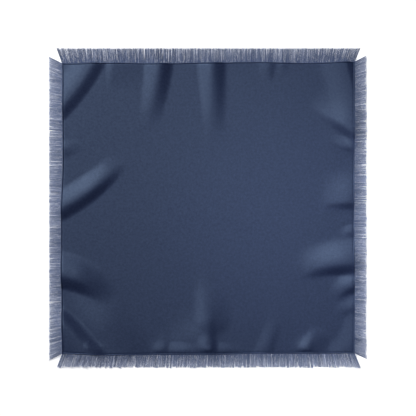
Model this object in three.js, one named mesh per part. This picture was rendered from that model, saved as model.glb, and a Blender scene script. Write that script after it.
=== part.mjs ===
import * as THREE from "three";

// A square satin scarf with a thread fringe on its four sides, lying face up on a flat surface.
// Sizes are in millimetres. X runs to its right side, Y to its top side and Z up, from the
// middle of the whole scarf, fringe included.

const CLOTH_THICKNESS = 1.4;
const HEM_WIDTH = 3.2;
const HEM_THICKNESS = 2.4;
const HEADING_GAP = 0.5;
const HEADING_WIDTH = 2.2;
const HEADING_THICKNESS = 1.2;
const LOCKS_PER_SIDE = 72;
const LOCK_THICKNESS = 1.0;
const FIT_ERROR = 0.4;
const GRID_STEPS = 128;
const SPINE_STEPS = 24;
const TIP_NARROWING = 0.3;
const ON_CREST = 1e-6;

// The four sides. reach is the hem's distance from the middle and tips that of the fringe's cut
// ends. A side runs from its start, at the left or the bottom, to its end. The threads lean
// outward by so many degrees at each end, and the lean fades over so many millimetres.
const SIDES = {
  top: { reach: 323.6, tips: 354.7, startLean: 20, startFade: 67, endLean: 22, endFade: 67 },
  bottom: { reach: 327, tips: 354.7, startLean: 21.5, startFade: 170, endLean: 23, endFade: 75 },
  left: { reach: 325.2, tips: 352.6, startLean: 27, startFade: 75, endLean: 26, endFade: 85 },
  right: { reach: 328, tips: 353.8, startLean: 24, startFade: 100, endLean: 27, endFade: 85 },
};

// How far each side bows out from its straight line, at even steps from its start to its end.
const BOWS = {
  top: [-1.6, -0.2, -1.6, 0.2, 1.6, -0.7, 2.2],
  bottom: [-1.2, 2.2, 1.3, 1.3, -1.1, -1.1, -2.2],
  left: [-1.4, 0.7, 1.8, 1.6, -1.8, -1.3, -0.9],
  right: [-0.2, 0.7, 0, -0.7, -0.2, 0.4, 0.7],
};

// Soft folds, a row for each. A fold's crest runs from its root, at or past the cloth's edge, round
// its bend to its tip. left and right are the widths of its two flanks as seen along that way, height
// is the crest's, and hold is the share of its length over which the crest keeps that height.
const FOLD_COLUMNS = [
  "name", "rootX", "rootY", "bendX", "bendY", "tipX", "tipY", "left", "right", "height", "hold",
];
const FOLD_ROWS = [
  ["top_left_corner", -246, 344, -277, 271, -348, 204, 29, 48, 6.1, 1],
  ["top_a", -210, 338, -208, 300, -215, 260, 100, 20, 2.2, 0.2],
  ["top_b", -105, 346, -110, 266, -134, 168, 35, 38, 9.2, 0.05],
  ["top_c", 10, 346, 10, 251, 19, 142, 36, 35, 8, 0.05],
  ["top_d", 139, 340, 139, 311, 130, 271, 18, 27, 1.4, 0.3],
  ["top_e", 170, 340, 168, 315, 166, 289, 16, 13, 0.8, 0.3],
  ["top_right_corner", 299, 351, 321, 262, 353, 168, 18, 62, 4.2, 1],
  ["right_a", 345, 160, 293, 190, 230, 240, 29, 66, 6.3, 0.35],
  ["right_b", 340, 128, 306, 139, 264, 151, 17, 26, 2.1, 0.3],
  ["right_c", 344, 14, 295, 14, 246, 10, 22, 85, 4.9, 0.2],
  ["right_d", 340, -52, 317, -54, 291, -61, 20, 22, 2, 0.3],
  ["right_e", 344, -125, 262, -120, 193, -152, 30, 67, 9.3, 0.2],
  ["right_f", 342, -167, 309, -174, 277, -203, 22, 40, 5.2, 0.2],
  ["right_g", 342, -211, 315, -220, 291, -241, 19, 26, 1.5, 0.4],
  ["bottom_right_corner", 358, -232, 344, -313, 282, -353, 58, 50, 3.6, 1],
  ["bottom_a", 227, -311, 235, -291, 246, -262, 26, 50, 2.5, 0.3],
  ["bottom_b", 121, -339, 139, -290, 159, -232, 28, 24, 1.6, 0.3],
  ["bottom_c", -3, -317, -1, -280, -3, -215, 110, 29, 4.2, 0.25],
  ["bottom_c_high", -2, -246, -8, -206, -16, -142, 26, 60, 3.8, 0.15],
  ["bottom_d", -99, -318, -97, -300, -97, -264, 20, 20, 1.1, 0.3],
  ["bottom_left_corner", -346, -247, -305, -268, -243, -359, 37, 90, 14, 1],
  ["bottom_left_rise", -203, -345, -220, -258, -310, -170, 66, 90, 6, 0.4],
  ["left_a", -346, -148, -278, -150, -212, -208, 60, 36, 12, 0.35],
  ["left_b", -351, -12, -257, 26, -186, 110, 46, 30, 7.6, 0.5],
  ["left_c", -342, 127, -311, 132, -275, 145, 22, 27, 1.8, 0.2],
  ["hem_a", -72, -319, -43, -320, -14, -320, 24, 12, 1.7, 0.3],
  ["hem_b", 14, -320, 44, -320, 80, -318, 24, 12, 1.6, 0.3],
  ["pucker_a", -264, -311, -244, -316, -220, -318, 20, 11, 1.4, 0.4],
  ["pucker_b", -108, -317, -99, -316, -88, -317, 24, 10, 1.2, 0.4],
  ["pucker_c", -2, -315, 8, -314, 20, -316, 34, 10, 2.8, 0.4],
  ["pucker_d", 214, -314, 228, -313, 240, -315, 32, 10, 1.8, 0.4],
];

const { lerp, smoothstep, degToRad } = THREE.MathUtils;

// A fold row as an object, with its crest line as points.
function readFold(row) {
  const fold = Object.fromEntries(FOLD_COLUMNS.map((column, i) => [column, row[i]]));
  const crest = new THREE.QuadraticBezierCurve(
    new THREE.Vector2(fold.rootX, fold.rootY),
    new THREE.Vector2(fold.bendX, fold.bendY),
    new THREE.Vector2(fold.tipX, fold.tipY),
  );
  fold.crest = crest.getPoints(SPINE_STEPS);
  return fold;
}

const FOLDS = FOLD_ROWS.map(readFold);

// The nearest place on a fold's crest line: how far away it is and how far along. side goes from
// -1, square off the crest to its right, to 1, square off to its left, and lies between them only
// round a crest's end.
function nearestOnCrest(fold, x, y) {
  let nearest = { distance: Infinity };
  for (let i = 0; i < SPINE_STEPS; i++) {
    const from = fold.crest[i];
    const along = fold.crest[i + 1].clone().sub(from);
    const offset = new THREE.Vector2(x, y).sub(from);
    const t = THREE.MathUtils.clamp(offset.dot(along) / along.lengthSq(), 0, 1);
    const distance = Math.hypot(offset.x - t * along.x, offset.y - t * along.y);
    if (distance < nearest.distance) {
      const turn = along.cross(offset) / along.length();
      const side = turn / Math.max(distance, ON_CREST);
      nearest = { distance, side, share: (i + t) / SPINE_STEPS };
    }
  }
  return nearest;
}

// One fold's height over a place: a bell across the crest that narrows and fades towards the tip.
function foldHeight(fold, x, y) {
  const { distance, side, share } = nearestOnCrest(fold, x, y);
  const narrowing = fold.hold < 1 ? 1 - TIP_NARROWING * share : 1;
  const width = lerp(fold.right, fold.left, (1 + side) / 2);
  const across = distance / (narrowing * width);
  if (across >= 1) return 0;
  const fade = fold.hold < 1 ? 1 - smoothstep(share, fold.hold, 1) : 1;
  return fold.height * fade * (1 - across * across) ** 2;
}

// The height of the cloth's underside over a place.
function clothHeight(x, y) {
  return FOLDS.reduce((sum, fold) => sum + foldHeight(fold, x, y), 0);
}

// A side's distance from the middle at a share of its length.
function sideReach(name, share) {
  const bows = BOWS[name];
  const place = THREE.MathUtils.clamp(share, 0, 1) * (bows.length - 1);
  const step = Math.min(Math.floor(place), bows.length - 2);
  const bow = lerp(bows[step], bows[step + 1], smoothstep(place - step, 0, 1));
  return SIDES[name].reach + bow;
}

// A place on the panel, from shares of its width and height, with every side moved in by inset.
function panelPoint(u, v, inset) {
  const x = lerp(inset - sideReach("left", v), sideReach("right", v) - inset, u);
  const y = lerp(inset - sideReach("bottom", u), sideReach("top", u) - inset, v);
  return { x, y };
}

// Collects corners and faces of one closed body.
class Body {
  constructor() {
    this.corners = [];
    this.faces = [];
  }

  corner(x, y, z) {
    this.corners.push(x, y, z);
    return this.corners.length / 3 - 1;
  }

  triangle(a, b, c) {
    this.faces.push(a, b, c);
  }

  quad(a, b, c, d) {
    this.triangle(a, b, c);
    this.triangle(a, c, d);
  }

  // Six times the volume that the faces enclose, below zero when they face inward.
  signedVolume() {
    const at = (i) => new THREE.Vector3().fromArray(this.corners, 3 * i);
    let sum = 0;
    for (let i = 0; i < this.faces.length; i += 3) {
      const [a, b, c] = this.faces.slice(i, i + 3).map(at);
      sum += a.dot(b.cross(c));
    }
    return sum;
  }

  mesh(name, material) {
    if (this.signedVolume() < 0) this.faces.reverse();
    const geometry = new THREE.BufferGeometry();
    geometry.setAttribute("position", new THREE.Float32BufferAttribute(this.corners, 3));
    geometry.setIndex(this.faces);
    geometry.computeVertexNormals();
    const mesh = new THREE.Mesh(geometry, material);
    mesh.name = name;
    return mesh;
  }
}

// The panel is covered by right triangles, halved wherever the folds need it. A triangle has its
// long side from a to b, and each corner is a place on a square grid.
const middle = (a, b) => [(a[0] + b[0]) / 2, (a[1] + b[1]) / 2];
const gridKey = ([i, j]) => i * (GRID_STEPS + 1) + j;
const LAST_LEVEL = 2 * Math.log2(GRID_STEPS) - 1;

function gridPoint([i, j]) {
  const { x, y } = panelPoint(i / GRID_STEPS, j / GRID_STEPS, HEM_WIDTH);
  return new THREE.Vector3(x, y, clothHeight(x, y));
}

// Calls visit for the triangles at a level, or for the ones that split refuses to halve.
function walkTriangles(level, split, visit) {
  const halve = (a, b, c, depth) => {
    const m = middle(a, b);
    if (depth === level || !split(m)) return visit(a, b, c, m);
    halve(c, a, m, depth + 1);
    halve(b, c, m, depth + 1);
  };
  const n = GRID_STEPS;
  halve([0, 0], [n, n], [n, 0], 0);
  halve([n, n], [0, 0], [0, n], 0);
}

// For each grid place, how far the cloth lies from the long side that would pass it by. The
// finest triangles come first, so that a halved triangle's neighbour is always halved with it.
function fitErrors() {
  const points = new Map();
  const pointAt = (place) => {
    const key = gridKey(place);
    if (!points.has(key)) points.set(key, gridPoint(place));
    return points.get(key);
  };
  const errors = new Map();
  for (let level = LAST_LEVEL; level >= 0; level--) {
    const always = () => true;
    walkTriangles(level, always, (a, b, c, m) => {
      const straight = pointAt(a).clone().lerp(pointAt(b), 0.5);
      const missed = straight.sub(pointAt(m));
      const isOnRim = m.includes(0) || m.includes(GRID_STEPS);
      const own = isOnRim ? 2 * missed.length() : Math.abs(missed.z);
      const halves = level < LAST_LEVEL ? [middle(c, a), middle(b, c)] : [];
      const found = halves.map((half) => errors.get(gridKey(half)));
      errors.set(gridKey(m), Math.max(own, errors.get(gridKey(m)) ?? 0, ...found));
    });
  }
  return errors;
}

// The hem is a roll: its section, from the cloth's upper face round to its underside.
const HEM_SECTION = [
  { inset: HEM_WIDTH / 2, rise: HEM_THICKNESS },
  { inset: 0, rise: HEM_THICKNESS / 2 },
  { inset: HEM_WIDTH / 4, rise: 0 },
];

// How far along the rim a grid place lies, starting at the bottom left and running anticlockwise.
function rimPlace([i, j]) {
  const n = GRID_STEPS;
  if (j === 0 && i < n) return i;
  if (i === n && j < n) return n + j;
  if (j === n && i > 0) return 3 * n - i;
  return 4 * n - j;
}

function makePanel(material) {
  const body = new Body();
  const errors = fitErrors();
  const upper = new Map();
  const lower = new Map();
  const rim = [];
  const cornersAt = (place) => {
    const key = gridKey(place);
    if (!upper.has(key)) {
      const { x, y, z } = gridPoint(place);
      upper.set(key, body.corner(x, y, z + CLOTH_THICKNESS));
      lower.set(key, body.corner(x, y, z));
      if (place.includes(0) || place.includes(GRID_STEPS)) rim.push(place);
    }
    return [upper.get(key), lower.get(key)];
  };
  const needsHalving = (place) => errors.get(gridKey(place)) > FIT_ERROR;
  walkTriangles(LAST_LEVEL + 1, needsHalving, (a, b, c) => {
    const [aUpper, aLower] = cornersAt(a);
    const [bUpper, bLower] = cornersAt(b);
    const [cUpper, cLower] = cornersAt(c);
    body.triangle(aUpper, cUpper, bUpper);
    body.triangle(aLower, bLower, cLower);
  });

  rim.sort((a, b) => rimPlace(a) - rimPlace(b));
  const sections = rim.map((place) => {
    const [inner, under] = cornersAt(place);
    const roll = HEM_SECTION.map(({ inset, rise }) => {
      const { x, y } = panelPoint(place[0] / GRID_STEPS, place[1] / GRID_STEPS, inset);
      return body.corner(x, y, clothHeight(x, y) + rise);
    });
    return [inner, ...roll, under];
  });
  sections.forEach((section, i) => {
    const next = sections[(i + 1) % sections.length];
    for (let k = 0; k + 1 < section.length; k++) {
      body.quad(section[k], section[k + 1], next[k + 1], next[k]);
    }
  });
  return body.mesh("satin_panel", material);
}

// A place beside a side: along is a share of its length and out the distance outside its hem.
function sidePlace(name, along, out) {
  const reach = sideReach(name, along) + out;
  const [start, end] = name === "top" || name === "bottom" ? ["left", "right"] : ["bottom", "top"];
  const atEnd = name === "top" || name === "right" ? 1 : 0;
  const across = lerp(-sideReach(start, atEnd), sideReach(end, atEnd), along);
  if (name === "top") return { x: across, y: reach };
  if (name === "bottom") return { x: across, y: -reach };
  if (name === "left") return { x: -reach, y: across };
  return { x: reach, y: across };
}

// How far a thread leans along its side for each millimetre that it reaches out.
function leanAt(name, along) {
  const { startLean, startFade, endLean, endFade } = SIDES[name];
  const length = 2 * SIDES[name].reach;
  const start = startLean * Math.exp((-along * length) / startFade);
  const end = endLean * Math.exp((-(1 - along) * length) / endFade);
  return Math.tan(degToRad(end - start));
}

// The locks are uneven, each in its own way: a value from -1 to 1 for a lock's number.
const uneven = (k, seed) => Math.sin(2.4 * k + seed) * Math.cos(1.3 * k - 2 * seed);

// A fringe is a narrow heading along the hem with locks that grow out of its outer face.
const LOCK = {
  rootShare: 0.74,
  middleShare: 0.62,
  tipShare: 0.4,
  bendAt: 0.45,
  trimPlay: 1.2,
  sway: 1.1,
};

function makeFringe(name, material) {
  const body = new Body();
  const length = 2 * SIDES[name].reach;
  const pitch = 1 / LOCKS_PER_SIDE;
  const headingOut = HEADING_GAP + HEADING_WIDTH;

  // The four corners of the heading's section at a place along the side.
  const headingSection = (along) => {
    const hem = sidePlace(name, along, 0);
    const z = clothHeight(hem.x, hem.y);
    const inner = sidePlace(name, along, HEADING_GAP);
    const outer = sidePlace(name, along, headingOut);
    return {
      hemHeight: z,
      innerLow: body.corner(inner.x, inner.y, z),
      innerHigh: body.corner(inner.x, inner.y, z + HEADING_THICKNESS),
      outerLow: body.corner(outer.x, outer.y, z),
      outerHigh: body.corner(outer.x, outer.y, z + HEADING_THICKNESS),
    };
  };

  const sections = [];
  for (let k = 0; k < LOCKS_PER_SIDE; k++) {
    const centre = (k + 0.5) * pitch;
    const half = (pitch * LOCK.rootShare * (1 + 0.12 * uneven(k, 1))) / 2;
    const from = headingSection(centre - half);
    const to = headingSection(centre + half);
    sections.push(from, to);

    // A place on the lock: share of its reach, and side -1 or 1 across its width.
    const reach = SIDES[name].tips - LOCK.trimPlay * Math.abs(uneven(k, 3)) - sideReach(name, centre);
    const lockPlace = (share, side, widthShare) => {
      const out = lerp(headingOut, reach, share);
      const lean = leanAt(name, centre) * (out - headingOut);
      const sway = LOCK.sway * share * uneven(k, 5);
      const width = pitch * length * widthShare * (1 + 0.15 * uneven(k, 7));
      return sidePlace(name, centre + (lean + sway + (side * width) / 2) / length, out);
    };
    const bend = (side) => lockPlace(LOCK.bendAt, side, LOCK.middleShare);
    const bendHeight = from.hemHeight * (1 - smoothstep(LOCK.bendAt, 0, 0.75));
    const [bendFrom, bendTo] = [bend(-1), bend(1)];
    const [tipFrom, tipTo] = [lockPlace(1, -1, LOCK.tipShare), lockPlace(1, 1, LOCK.tipShare)];
    const lowFrom = body.corner(bendFrom.x, bendFrom.y, bendHeight);
    const lowTo = body.corner(bendTo.x, bendTo.y, bendHeight);
    const highFrom = body.corner(bendFrom.x, bendFrom.y, bendHeight + LOCK_THICKNESS);
    const highTo = body.corner(bendTo.x, bendTo.y, bendHeight + LOCK_THICKNESS);
    const endFrom = body.corner(tipFrom.x, tipFrom.y, 0);
    const endTo = body.corner(tipTo.x, tipTo.y, 0);

    body.quad(from.outerHigh, highFrom, highTo, to.outerHigh);
    body.quad(highFrom, endFrom, endTo, highTo);
    body.quad(to.outerLow, lowTo, lowFrom, from.outerLow);
    body.quad(lowTo, endTo, endFrom, lowFrom);
    body.quad(from.outerLow, lowFrom, highFrom, from.outerHigh);
    body.triangle(lowFrom, endFrom, highFrom);
    body.quad(to.outerHigh, highTo, lowTo, to.outerLow);
    body.triangle(highTo, endTo, lowTo);
  }

  // The heading's own faces; its outer face is open where a lock grows out of it.
  for (let i = 0; i + 1 < sections.length; i++) {
    const a = sections[i];
    const b = sections[i + 1];
    body.quad(a.innerHigh, a.outerHigh, b.outerHigh, b.innerHigh);
    body.quad(b.innerLow, b.outerLow, a.outerLow, a.innerLow);
    body.quad(b.innerHigh, b.innerLow, a.innerLow, a.innerHigh);
    const isBetweenLocks = i % 2 === 1;
    if (isBetweenLocks) body.quad(a.outerHigh, a.outerLow, b.outerLow, b.outerHigh);
  }
  const first = sections[0];
  const last = sections[sections.length - 1];
  body.quad(first.innerHigh, first.innerLow, first.outerLow, first.outerHigh);
  body.quad(last.outerHigh, last.outerLow, last.innerLow, last.innerHigh);
  return body.mesh("fringe_" + name, material);
}

const satin = new THREE.MeshStandardMaterial({ color: 0x394560, roughness: 0.45, metalness: 0 });
const thread = new THREE.MeshStandardMaterial({ color: 0x5a6782, roughness: 0.7, metalness: 0 });

const scarf = new THREE.Group();
scarf.add(makePanel(satin));
for (const name of Object.keys(SIDES)) scarf.add(makeFringe(name, thread));

export default scarf;
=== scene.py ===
"""A square satin scarf with a thread fringe on its four sides, laid flat in a plain bright studio.

The scarf's own sizes are in millimetres, as they are measured on the cloth, and become metres
where a mesh is made. X runs to its right side, Y to its top side and Z up.
"""
import math

import bpy
import numpy as np
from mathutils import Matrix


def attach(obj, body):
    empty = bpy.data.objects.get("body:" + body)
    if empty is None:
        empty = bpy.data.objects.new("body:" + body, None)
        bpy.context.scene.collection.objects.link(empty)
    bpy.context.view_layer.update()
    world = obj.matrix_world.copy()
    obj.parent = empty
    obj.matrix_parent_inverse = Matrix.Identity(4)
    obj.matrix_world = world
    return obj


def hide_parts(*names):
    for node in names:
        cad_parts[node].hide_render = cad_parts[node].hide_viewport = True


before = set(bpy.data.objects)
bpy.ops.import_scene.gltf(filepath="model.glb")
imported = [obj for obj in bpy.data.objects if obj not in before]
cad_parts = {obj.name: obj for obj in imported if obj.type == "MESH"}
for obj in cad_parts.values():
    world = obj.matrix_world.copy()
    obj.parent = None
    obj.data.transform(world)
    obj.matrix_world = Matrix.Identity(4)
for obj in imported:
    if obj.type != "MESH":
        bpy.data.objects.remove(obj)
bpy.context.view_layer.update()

MM = 0.001
RANDOM_SEED = 7

# How high the cloth's lower and upper faces lie above the height of its folds.
CLOTH_BASE = 0.15
CLOTH_TOP = 1.2

# The rolled hem. The cloth's upper face ends at the seam, so far in from the side. There it dips
# through these insets and heights, and then goes round the roll, from its inner side over its top
# to its foot, between two angles in degrees.
SEAM_INSET = 5.2
SEAM_DIP = [(4.6, 1.05), (3.9, 0.7), (3.3, 0.6)]
HEM_WIDTH = 3.2
HEM_THICKNESS = 2.1
ROLL_START = 160
ROLL_END = -75
ROLL_POINTS = 8

# The panel's grid, whose steps are shorter near the edges.
PANEL_STEPS = 208
EDGE_GRADING = 0.45

# The four sides. reach is the hem's distance from the middle and tips that of the fringe's cut
# ends. A side runs from its start, at the left or the bottom, to its end. The threads lean
# outward by so many degrees at each end, and the lean fades over so many millimetres.
LEVEL_SIDES = ("top", "bottom")
FAR_SIDES = ("top", "right")
SIDES = {
    "top": dict(reach=323.6, tips=354.7, start_lean=20, start_fade=67, end_lean=22, end_fade=67),
    "bottom": dict(
        reach=327, tips=354.7, start_lean=21.5, start_fade=170, end_lean=23, end_fade=75
    ),
    "left": dict(reach=325.2, tips=352.6, start_lean=27, start_fade=75, end_lean=26, end_fade=85),
    "right": dict(reach=328, tips=353.8, start_lean=24, start_fade=100, end_lean=27, end_fade=85),
}

# How far each side bows out from its straight line, at even steps from its start to its end.
BOWS = {
    "top": [-1.6, -0.2, -1.6, 0.2, 1.6, -0.7, 2.2],
    "bottom": [-1.2, 2.2, 1.3, 1.3, -1.1, -1.1, -2.2],
    "left": [-1.4, 0.7, 1.8, 1.6, -1.8, -1.3, -0.9],
    "right": [-0.2, 0.7, 0, -0.7, -0.2, 0.4, 0.7],
}

# Soft folds, a row for each. A fold's crest runs from its root, which mostly lies at or past the
# cloth's edge, round its bend to its tip. left and right are the widths of its two flanks as seen
# along that way, height is the crest's, and hold is the share of its length over which the crest
# keeps that height. A fold with a hold of 1 runs off the cloth at both ends.
FOLD_COLUMNS = ("name", "root", "bend", "tip", "left", "right", "height", "hold")
FOLD_ROWS = [
    ("top_left_corner", (-246, 344), (-277, 271), (-348, 204), 29, 48, 6.1, 1),
    ("top_a", (-210, 338), (-208, 300), (-215, 260), 100, 20, 2.2, 0.2),
    ("top_b", (-105, 346), (-110, 266), (-134, 168), 35, 38, 9.2, 0.05),
    ("top_c", (10, 346), (10, 251), (19, 142), 36, 35, 8, 0.05),
    ("top_d", (139, 340), (139, 311), (130, 271), 18, 27, 1.4, 0.3),
    ("top_e", (170, 340), (168, 315), (166, 289), 16, 13, 0.8, 0.3),
    ("top_right_corner", (299, 351), (321, 262), (353, 168), 18, 62, 4.2, 1),
    ("right_a", (345, 160), (293, 190), (230, 240), 29, 66, 6.3, 0.35),
    ("right_b", (340, 128), (306, 139), (264, 151), 17, 26, 2.1, 0.3),
    ("right_c", (344, 14), (295, 14), (246, 10), 22, 85, 4.9, 0.2),
    ("right_d", (340, -52), (317, -54), (291, -61), 20, 22, 2, 0.3),
    ("right_e", (344, -125), (262, -120), (193, -152), 30, 67, 9.3, 0.2),
    ("right_f", (342, -167), (309, -174), (277, -203), 22, 40, 5.2, 0.2),
    ("right_g", (342, -211), (315, -220), (291, -241), 19, 26, 1.5, 0.4),
    ("bottom_right_corner", (358, -232), (344, -313), (282, -353), 58, 50, 3.6, 1),
    ("bottom_a", (227, -311), (235, -291), (246, -262), 26, 50, 2.5, 0.3),
    ("bottom_b", (121, -339), (139, -290), (159, -232), 28, 24, 1.6, 0.3),
    ("bottom_c", (-3, -317), (-1, -280), (-3, -215), 110, 29, 4.2, 0.25),
    ("bottom_c_high", (-2, -246), (-8, -206), (-16, -142), 26, 60, 3.8, 0.15),
    ("bottom_d", (-99, -318), (-97, -300), (-97, -264), 20, 20, 1.1, 0.3),
    ("bottom_left_corner", (-346, -247), (-305, -268), (-243, -359), 37, 90, 14, 1),
    ("bottom_left_rise", (-203, -345), (-220, -258), (-310, -170), 66, 90, 6, 0.4),
    ("left_a", (-346, -148), (-278, -150), (-212, -208), 60, 36, 12, 0.35),
    ("left_b", (-351, -12), (-257, 26), (-186, 110), 46, 30, 7.6, 0.5),
    ("left_c", (-342, 127), (-311, 132), (-275, 145), 22, 27, 1.8, 0.2),
    ("hem_a", (-72, -319), (-43, -320), (-14, -320), 24, 12, 1.7, 0.3),
    ("hem_b", (14, -320), (44, -320), (80, -318), 24, 12, 1.6, 0.3),
    ("pucker_a", (-264, -311), (-244, -316), (-220, -318), 20, 11, 1.4, 0.4),
    ("pucker_b", (-108, -317), (-99, -316), (-88, -317), 24, 10, 1.2, 0.4),
    ("pucker_c", (-2, -315), (8, -314), (20, -316), 34, 10, 2.8, 0.4),
    ("pucker_d", (214, -314), (228, -313), (240, -315), 32, 10, 1.8, 0.4),
]
SPINE_STEPS = 24
TIP_NARROWING = 0.3
ON_CREST = 1e-6


def smooth(low, high, value):
    """A soft step from 0 at low to 1 at high."""
    t = np.clip((value - low) / (high - low), 0, 1)
    return t * t * (3 - 2 * t)


def crest_points(fold):
    """The points of a fold's crest line, a curve from its root round its bend to its tip."""
    t = np.linspace(0, 1, SPINE_STEPS + 1)[:, None]
    root, bend, tip = (np.array(fold[key], float) for key in ("root", "bend", "tip"))
    return (1 - t) ** 2 * root + 2 * t * (1 - t) * bend + t**2 * tip


def fold_height(fold, x, y):
    """One fold's height over each place: a bell across the crest that narrows and fades.

    side goes from -1, square off the crest to its right, to 1, square off to its left, and lies
    between them only round a crest's end.
    """
    points = crest_points(fold)
    distance = np.full(x.shape, np.inf)
    share = np.zeros(x.shape)
    side = np.zeros(x.shape)
    for i in range(SPINE_STEPS):
        start, along = points[i], points[i + 1] - points[i]
        dx, dy = x - start[0], y - start[1]
        t = np.clip((dx * along[0] + dy * along[1]) / along.dot(along), 0, 1)
        off_x, off_y = dx - t * along[0], dy - t * along[1]
        found = np.hypot(off_x, off_y)
        turn = (along[0] * off_y - along[1] * off_x) / np.hypot(*along)
        nearer = found < distance
        distance[nearer] = found[nearer]
        share[nearer] = ((i + t) / SPINE_STEPS)[nearer]
        side[nearer] = (turn / np.maximum(found, ON_CREST))[nearer]
    runs_off = fold["hold"] >= 1
    narrowing = 1 if runs_off else 1 - TIP_NARROWING * share
    width = fold["right"] + (fold["left"] - fold["right"]) * (1 + side) / 2
    across = distance / (narrowing * width)
    fade = 1 if runs_off else 1 - smooth(fold["hold"], 1, share)
    return fold["height"] * fade * np.clip(1 - across**2, 0, None) ** 2


def cloth_height(x, y):
    """How high the folds raise the cloth over each place."""
    total = np.zeros(x.shape)
    for row in FOLD_ROWS:
        total += fold_height(dict(zip(FOLD_COLUMNS, row)), x, y)
    return total


def side_reach(name, share):
    """A side's distance from the middle at a share of its length."""
    bows = np.array(BOWS[name])
    place = np.clip(share, 0, 1) * (len(bows) - 1)
    step = np.minimum(place.astype(int), len(bows) - 2)
    blend = smooth(0, 1, place - step)
    return SIDES[name]["reach"] + bows[step] * (1 - blend) + bows[step + 1] * blend


def panel_point(u, v, inset):
    """A place on the panel, from shares of its width and height, its sides moved in by inset."""
    left, right = side_reach("left", v) - inset, side_reach("right", v) - inset
    bottom, top = side_reach("bottom", u) - inset, side_reach("top", u) - inset
    return -left + (left + right) * u, -bottom + (bottom + top) * v


def side_place(name, along, out):
    """A place beside a side: along is a share of its length, out the distance outside its hem."""
    reach = side_reach(name, along) + out
    is_level = name in LEVEL_SIDES
    is_far = name in FAR_SIDES
    start, end = ("left", "right") if is_level else ("bottom", "top")
    corner = np.array(1.0 if is_far else 0.0)
    low, high = -side_reach(start, corner), side_reach(end, corner)
    across = low + (high - low) * along
    sign = 1 if is_far else -1
    return (across, sign * reach) if is_level else (sign * reach, across)


def make_mesh(name, corners, faces, material, tone=None):
    """An object from corners in millimetres, riding on the scarf's one body.

    tone, where given, is a number from 0 to 1 for each corner, which its material reads.
    """
    mesh = bpy.data.meshes.new(name)
    mesh.from_pydata((np.asarray(corners) * MM).tolist(), [], faces)
    mesh.update()
    mesh.shade_smooth()
    mesh.materials.append(material)
    if tone is not None:
        layer = mesh.color_attributes.new(name="tone", type="FLOAT_COLOR", domain="POINT")
        rgba = np.repeat(np.asarray(tone, float)[:, None], 4, axis=1)
        layer.data.foreach_set("color", rgba.ravel())
    piece = bpy.data.objects.new(name, mesh)
    bpy.context.scene.collection.objects.link(piece)
    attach(piece, "root")
    return piece


# Materials. Their colours are linear, and the cloth's gloss has colours of its own. Noise lies
# mostly between the two ends of its range.

SATIN_DARK = (0.0103, 0.0163, 0.0545)
SATIN_LIGHT = (0.0151, 0.024, 0.0795)
GLOSS_DARK = (0.365, 0.5, 0.765)
GLOSS_LIGHT = (0.505, 0.69, 0.94)
# The thread colours are far paler than the satin's: painted light from the white floor that shines
# through and between the thin threads.
THREAD_DARK = (0.105, 0.15, 0.295)
THREAD_LIGHT = (0.38, 0.45, 0.66)
PAPER_DARK = (0.89, 0.89, 0.89)
PAPER_LIGHT = (0.91, 0.91, 0.91)
NOISE_RANGE = (0.3, 0.7)


def new_material(name):
    """A material with its Principled shader, its nodes and its links."""
    material = bpy.data.materials.new(name)
    material.use_nodes = True
    return material, material.node_tree.nodes, material.node_tree.links


def object_coordinates(nodes, links, scale):
    """The piece's own coordinates, stretched by scale."""
    coordinates = nodes.new("ShaderNodeTexCoord")
    mapping = nodes.new("ShaderNodeMapping")
    mapping.inputs["Scale"].default_value = scale
    links.new(coordinates.outputs["Object"], mapping.inputs["Vector"])
    return mapping.outputs["Vector"]


def noise(nodes, links, scale, detail=2.0, stretch=(1, 1, 1), roughness=0.5):
    """Noise with about scale spots to a metre, times stretch along each axis."""
    texture = nodes.new("ShaderNodeTexNoise")
    texture.inputs["Scale"].default_value = scale
    texture.inputs["Detail"].default_value = detail
    texture.inputs["Roughness"].default_value = roughness
    links.new(object_coordinates(nodes, links, stretch), texture.inputs["Vector"])
    return texture.outputs["Fac"]


def ramp(nodes, links, value, low, high, dark, light):
    """A colour from dark to light as value goes from low to high."""
    node = nodes.new("ShaderNodeValToRGB")
    node.color_ramp.elements[0].position = low
    node.color_ramp.elements[0].color = (*dark, 1)
    node.color_ramp.elements[1].position = high
    node.color_ramp.elements[1].color = (*light, 1)
    links.new(value, node.inputs["Fac"])
    return node.outputs["Color"]


def add_bump(nodes, links, value, strength, distance, before=None):
    """A surface raised by up to distance in metres, on top of the bumps that came before."""
    node = nodes.new("ShaderNodeBump")
    node.inputs["Strength"].default_value = strength
    node.inputs["Distance"].default_value = distance
    links.new(value, node.inputs["Height"])
    if before is not None:
        links.new(before, node.inputs["Normal"])
    return node.outputs["Normal"]


def satin_material():
    """Navy satin: a tight weave with long floats, a soft gloss and a faint mottle."""
    material, nodes, links = new_material("navy_satin")
    shader = nodes["Principled BSDF"]
    shader.inputs["Roughness"].default_value = 0.55
    shader.inputs["IOR"].default_value = 1.6
    shader.inputs["Specular IOR Level"].default_value = 1
    mottle = noise(nodes, links, scale=190, detail=2, roughness=0.9)
    colour = ramp(nodes, links, mottle, *NOISE_RANGE, SATIN_DARK, SATIN_LIGHT)
    links.new(colour, shader.inputs["Base Color"])
    gloss = ramp(nodes, links, mottle, *NOISE_RANGE, GLOSS_DARK, GLOSS_LIGHT)
    links.new(gloss, shader.inputs["Specular Tint"])
    floats = noise(nodes, links, scale=1, detail=2, stretch=(300, 2400, 300))
    surface = add_bump(nodes, links, mottle, strength=0.15, distance=0.0006)
    surface = add_bump(nodes, links, floats, strength=0.2, distance=0.0001, before=surface)
    links.new(surface, shader.inputs["Normal"])
    return material


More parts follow.
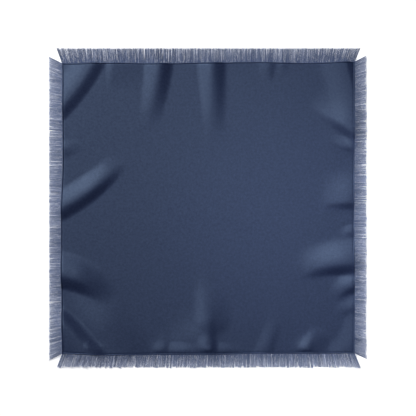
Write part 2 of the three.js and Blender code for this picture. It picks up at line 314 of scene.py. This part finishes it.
def thread_material():
    """Navy sewing thread with a fine twist, coloured by its tone: paler towards its cut end and set
    side by side, as painted light from the white floor and the key.
    """
    material, nodes, links = new_material("navy_thread")
    shader = nodes["Principled BSDF"]
    shader.inputs["Roughness"].default_value = 0.6
    shader.inputs["Specular IOR Level"].default_value = 0.25
    tone = nodes.new("ShaderNodeAttribute")
    tone.attribute_name = "tone"
    colour = ramp(nodes, links, tone.outputs["Fac"], 0, 1, THREAD_DARK, THREAD_LIGHT)
    links.new(colour, shader.inputs["Base Color"])
    twist = noise(nodes, links, scale=2500, detail=1)
    surface = add_bump(nodes, links, twist, strength=0.3, distance=0.0001)
    links.new(surface, shader.inputs["Normal"])
    return material


def floor_material():
    """White paper with a faint grain, which also shines a little, as a lit backdrop does."""
    material, nodes, links = new_material("white_paper")
    shader = nodes["Principled BSDF"]
    shader.inputs["Roughness"].default_value = 0.9
    shader.inputs["Specular IOR Level"].default_value = 0.1
    shader.inputs["Emission Color"].default_value = (1, 1, 1, 1)
    shader.inputs["Emission Strength"].default_value = 0.55
    grain = noise(nodes, links, scale=40, detail=2)
    colour = ramp(nodes, links, grain, *NOISE_RANGE, PAPER_DARK, PAPER_LIGHT)
    links.new(colour, shader.inputs["Base Color"])
    return material


# The satin panel

def graded_shares(steps):
    """Shares from 0 to 1, closer together near both ends, where the folds and the hem are."""
    t = np.linspace(0, 1, steps + 1)
    return t - EDGE_GRADING * np.sin(2 * math.pi * t) / (2 * math.pi)


def hem_section():
    """Insets and rises from the cloth's upper face, down into the seam and round the hem's roll."""
    turns = np.radians(np.linspace(ROLL_START, ROLL_END, ROLL_POINTS))
    inset = HEM_WIDTH * (1 - np.cos(turns)) / 2
    rise = HEM_THICKNESS * (1 + np.sin(turns)) / 2
    return SEAM_DIP + list(zip(inset, rise))


def rim_walk(steps):
    """The grid places round the panel's rim, anticlockwise from the bottom left."""
    low = [(i, 0) for i in range(steps)]
    right = [(steps, j) for j in range(steps)]
    high = [(i, steps) for i in range(steps, 0, -1)]
    left = [(0, j) for j in range(steps, 0, -1)]
    return low + right + high + left


def make_panel(material):
    """The cloth's two faces, joined round their rim by the seam and the hem's roll."""
    steps = PANEL_STEPS
    shares = graded_shares(steps)
    u, v = np.meshgrid(shares, shares, indexing="ij")
    x, y = panel_point(u, v, SEAM_INSET)
    z = cloth_height(x, y)
    upper = np.stack([x, y, z + CLOTH_TOP], axis=-1).reshape(-1, 3)
    lower = np.stack([x, y, z + CLOTH_BASE], axis=-1).reshape(-1, 3)
    corners = [upper, lower]
    count = len(upper)

    cell = (np.arange(steps)[:, None] * (steps + 1) + np.arange(steps)).ravel()
    quads = np.stack([cell, cell + steps + 1, cell + steps + 2, cell + 1], axis=1)
    faces = quads.tolist() + (quads[:, ::-1] + count).tolist()

    rim = rim_walk(steps)
    rim_index = np.array([i * (steps + 1) + j for i, j in rim])
    rim_u = shares[[i for i, _ in rim]]
    rim_v = shares[[j for _, j in rim]]
    rings = [rim_index]
    start = 2 * count
    for inset, rise in hem_section():
        hem_x, hem_y = panel_point(rim_u, rim_v, inset)
        hem_z = cloth_height(hem_x, hem_y) + rise
        corners.append(np.stack([hem_x, hem_y, hem_z], axis=-1))
        rings.append(np.arange(start, start + len(rim)))
        start += len(rim)
    rings.append(rim_index + count)
    for inner, outer in zip(rings, rings[1:]):
        band = np.stack([inner, outer, np.roll(outer, -1), np.roll(inner, -1)], axis=1)
        faces += band.tolist()
    return make_mesh("satin_cloth", np.concatenate(corners), faces, material)


# The fringe. A side's threads are spread at random between its margins, and so many more have
# their roots between these two distances from each of its ends.

THREADS_PER_SIDE = 7400
SPREAD_MARGIN = 0.4
END_THREADS = 16
END_PLACES = (0.2, 1.2)

# A thread is a thin tube with a ring of corners at each station, a share of its length. On two of
# the sides those rings run clockwise as seen from the threads' cut ends. A thread's thickness
# varies between two factors, and its cut end is thinner by a share.
THREAD_RADIUS = 0.17
THREAD_STATIONS = np.array([0, 0.16, 0.42, 0.72, 1.0])
TUBE_SIDES = 3
CLOCKWISE_SIDES = ("top", "left")
THICKNESS_RANGE = (0.75, 1.2)
TIP_THINNING = 0.45

# Threads hang together in locks. A lock's middle is shifted at random, its threads sway together
# and draw in towards that middle by up to a share, and near a side's ends they do so less.
LOCK_PITCH = 2.4
LOCK_SHIFT = 0.5
LOCK_SWAY = 0.5
LOCK_CLUMPING = 0.25
EVEN_ENDS = 30

# How far a single thread's cut end drifts aside, and less far at a side's ends, with the power by
# which the drift grows along the thread, and how far the thread bends aside halfway. A thread is
# trimmed by a random length, less this share of its spread, so some stand out past the tips.
THREAD_DRIFT = 0.6
END_DRIFT = 0.2
DRIFT_POWER = 1.3
THREAD_BELLY = 0.35
TRIM_LEVEL = 0.4

# Heights. A thread starts on the hem's roll and has settled on the floor at a share of its length.
# The threads lie on each other, in a pile of one height on the roll and of another on the floor.
# Where a fold raises the hem, a thread comes down from there between two shares of its length,
# and its cut end keeps a share of the fold's height.
ROOT_RISE = 1.9
ROOT_PILE = 0.4
FLOOR_PILE = 0.75
SETTLED = 0.5
FALL_RANGE = (-0.3, 0.9)
TIP_LIFT = 0.25

# How unevenly locks and single threads are coloured, and how much darker the end threads are.
LOCK_STREAKS = 0.12
THREAD_STREAKS = 0.12
END_SHADE = 0.3

# longer is how far past a side's tips its threads are cut, and overlap how far their roots lie on
# the hem's roll. root is how pale they are there and tip_light_painted how much paler at their cut
# ends: painted light, set for each side, for the white floor's light through the thinning threads
# and for how the key falls on that side. raise_light_painted is painted light for each millimetre
# that a fold raises the hem, paler where the raised hem shades the threads and darker on the top
# side. trim and lock_trim are how unevenly single threads and whole locks are cut, in millimetres.
FRINGE_LOOK = {
    "top": dict(
        longer=-0.3, overlap=1.4, root=0.12, tip_light_painted=0.4, raise_light_painted=-0.01, trim=2, lock_trim=0.4
    ),
    "bottom": dict(
        longer=0.9, overlap=0.2, root=0.16, tip_light_painted=0.8, raise_light_painted=0.03, trim=1.1, lock_trim=1.3
    ),
    "left": dict(
        longer=-0.1, overlap=1, root=0.35, tip_light_painted=0.7, raise_light_painted=0, trim=2, lock_trim=0.5
    ),
    "right": dict(
        longer=0.3, overlap=0.7, root=0.26, tip_light_painted=0.85, raise_light_painted=0, trim=2.9, lock_trim=0.6
    ),
}


def lean_at(name, along):
    """How far a thread leans along its side for each millimetre that it reaches out."""
    side = SIDES[name]
    length = 2 * side["reach"]
    start = side["start_lean"] * np.exp(-along * length / side["start_fade"])
    end = side["end_lean"] * np.exp(-(1 - along) * length / side["end_fade"])
    return np.tan(np.radians(end - start))


def thread_heights(hem_height, layer, t):
    """The threads' heights at their stations; layer is each one's place in its pile, 0 to 1."""
    root_rise = ROOT_RISE + ROOT_PILE * layer
    floor_rise = THREAD_RADIUS + FLOOR_PILE * layer
    settle = smooth(0, SETTLED, t)
    fall = 1 - (1 - TIP_LIFT) * smooth(*FALL_RANGE, t)
    return hem_height * fall + root_rise * (1 - settle) + floor_rise * settle


def thread_tubes(name, x, y, z, radius, turn):
    """The corners and outward faces of one side's threads, as tubes round their stations."""
    rings = []
    for k in range(TUBE_SIDES):
        angle = turn + 2 * math.pi * k / TUBE_SIDES
        sideways = radius * np.cos(angle)
        shift_x, shift_y = (sideways, 0) if name in LEVEL_SIDES else (0, sideways)
        rings.append(np.stack([x + shift_x, y + shift_y, z + radius * np.sin(angle)], axis=-1))
    corners = np.stack(rings, axis=2)
    places = corners.shape[:3]
    index = np.arange(math.prod(places)).reshape(places)
    following = np.roll(index, -1, axis=2)
    sides = np.stack(
        [index[:, :-1], following[:, :-1], following[:, 1:], index[:, 1:]], axis=-1
    ).reshape(-1, 4)
    roots, tips = index[:, 0, ::-1], index[:, -1]
    if name in CLOCKWISE_SIDES:
        sides, roots, tips = sides[:, ::-1], roots[:, ::-1], tips[:, ::-1]
    return corners.reshape(-1, 3), sides.tolist() + roots.tolist() + tips.tolist()


def sharpen_ends(mesh):
    """Keeps the shading of the threads' cut ends off their sides."""
    stations = len(THREAD_STATIONS)
    ends = np.empty(2 * len(mesh.edges), np.int32)
    mesh.edges.foreach_get("vertices", ends)
    ring = ends.reshape(-1, 2) // TUBE_SIDES % stations
    at_end = (ring[:, 0] == 0) | (ring[:, 0] == stations - 1)
    mesh.edges.foreach_set("use_edge_sharp", (ring[:, 0] == ring[:, 1]) & at_end)


def make_fringe(name, material, random):
    """One side's threads, in small locks that lean together towards their cut ends."""
    length = 2 * SIDES[name]["reach"]
    look = FRINGE_LOOK[name]
    spread = np.sort(random.uniform(SPREAD_MARGIN, length - SPREAD_MARGIN, THREADS_PER_SIDE))
    ends = random.uniform(*END_PLACES, (2, END_THREADS))
    root = np.concatenate([ends[0], spread, length - ends[1]])
    count = len(root)
    at_end = np.r_[np.ones(END_THREADS), np.zeros(THREADS_PER_SIDE), np.ones(END_THREADS)]
    along = root / length
    t = THREAD_STATIONS[None, :]

    locks = int(length / LOCK_PITCH)
    lock_places = (np.arange(locks) + 0.5) * LOCK_PITCH + random.normal(0, LOCK_SHIFT, locks)
    lock = np.clip((root / LOCK_PITCH).astype(int), 0, locks - 1)
    from_end = smooth(0, EVEN_ENDS, np.minimum(root, length - root))
    lock_sway = random.normal(0, LOCK_SWAY, locks)[lock] * from_end
    clump = random.uniform(0, LOCK_CLUMPING, locks)[lock] * from_end
    lock_tone = random.normal(0, LOCK_STREAKS, locks)[lock]

    trim = np.abs(random.normal(0, look["trim"], count)) - TRIM_LEVEL * look["trim"]
    trim += random.normal(0, look["lock_trim"], locks)[lock]
    reach = SIDES[name]["tips"] + look["longer"] - side_reach(name, along) - trim
    out = (reach[:, None] + look["overlap"]) * t - look["overlap"]
    own_drift = random.normal(0, THREAD_DRIFT, count)
    drift = clump * (lock_places[lock] - root) + lock_sway + own_drift
    drift = np.where(at_end > 0, random.normal(0, END_DRIFT, count), drift)
    belly = random.normal(0, THREAD_BELLY, count)[:, None] * 4 * t * (1 - t)
    lean = lean_at(name, along)[:, None] * out
    place = (root[:, None] + lean + drift[:, None] * t**DRIFT_POWER + belly) / length
    x, y = side_place(name, place, out)

    hem_height = cloth_height(*side_place(name, along, 0))[:, None]
    layer = random.uniform(0, 1, count)[:, None]
    z = thread_heights(hem_height, layer, t)
    thickness = random.uniform(*THICKNESS_RANGE, count)[:, None]
    radius = THREAD_RADIUS * thickness * (1 - TIP_THINNING * t)
    turn = random.uniform(0, 2 * math.pi, count)[:, None]
    corners, faces = thread_tubes(name, x, y, z, radius, turn)

    own_tone = (lock_tone + random.normal(0, THREAD_STREAKS, count) - END_SHADE * at_end)[:, None]
    # Painted light: the tone is paler towards the cut ends and where a fold raises the hem, with
    # each side's paleness set for how light falls there; the lock and thread streaks are random.
    tone = look["root"] + look["tip_light_painted"] * t + look["raise_light_painted"] * hem_height + own_tone
    tone = np.repeat(np.clip(tone, 0, 1)[:, :, None], TUBE_SIDES, axis=2).ravel()
    fringe = make_mesh("threads_" + name, corners, faces, material, tone)
    sharpen_ends(fringe.data)
    return fringe


# The studio, in metres. PIXEL is what one pixel of the photo spans on the floor, and VIEW_MIDDLE
# the place under the photo's middle. The lens and the sensor are in millimetres.

PIXEL = 2.2268 * MM
IMAGE_PIXELS = 416
VIEW_MIDDLE = (1.2 * MM, -0.9 * MM)
LENS = 200
SENSOR = 36
FLOOR_WIDTH = 60


def make_camera():
    """Straight above the scarf, far enough for the photo's frame."""
    data = bpy.data.cameras.new("camera")
    data.lens = LENS
    data.sensor_width = SENSOR
    camera = bpy.data.objects.new("camera", data)
    bpy.context.scene.collection.objects.link(camera)
    height = IMAGE_PIXELS * PIXEL * LENS / SENSOR
    camera.location = (*VIEW_MIDDLE, height)
    bpy.context.scene.camera = camera


# Both softboxes shine from one side: azimuth anticlockwise from +X, and elevation, in degrees.
LIGHT_AZIMUTH = 136
LIGHT_ELEVATION = 50


def make_softbox(name, power, size, distance, spread_degrees, middle):
    """A round softbox that faces a place on the cloth; its grid narrows its light to a spread."""
    data = bpy.data.lights.new(name, "AREA")
    data.energy = power
    data.shape = "DISK"
    data.size = size
    data.spread = math.radians(spread_degrees)
    light = bpy.data.objects.new(name, data)
    azimuth, elevation = math.radians(LIGHT_AZIMUTH), math.radians(LIGHT_ELEVATION)
    light.rotation_euler = (0, math.pi / 2 - elevation, azimuth)
    level = distance * math.cos(elevation)
    light.location = (
        middle[0] + level * math.cos(azimuth),
        middle[1] + level * math.sin(azimuth),
        distance * math.sin(elevation),
    )
    bpy.context.scene.collection.objects.link(light)


def make_floor():
    half = FLOOR_WIDTH / 2
    mesh = bpy.data.meshes.new("floor")
    corners = [(-half, -half, 0), (half, -half, 0), (half, half, 0), (-half, half, 0)]
    mesh.from_pydata(corners, [], [(0, 1, 2, 3)])
    mesh.materials.append(floor_material())
    floor = bpy.data.objects.new("floor", mesh)
    bpy.context.scene.collection.objects.link(floor)


def make_world(strength):
    """An even white light from all round."""
    world = bpy.data.worlds.new("studio")
    world.use_nodes = True
    background = world.node_tree.nodes["Background"]
    background.inputs["Color"].default_value = (1, 1, 1, 1)
    background.inputs["Strength"].default_value = strength
    bpy.context.scene.world = world


make_camera()
make_world(strength=0.03)
make_softbox("key", power=130, size=3, distance=4, spread_degrees=180, middle=(0, 0))
make_softbox(
    "pool", power=0.6, size=0.5, distance=1.3, spread_degrees=44, middle=(0.35, -0.14)
)
make_floor()
bpy.context.scene.view_settings.view_transform = "Standard"

random = np.random.default_rng(RANDOM_SEED)
cloth = make_panel(satin_material())
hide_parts("satin_panel")
thread = thread_material()
for side_name in SIDES:
    fringe = make_fringe(side_name, thread, random)
    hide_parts("fringe_" + side_name)
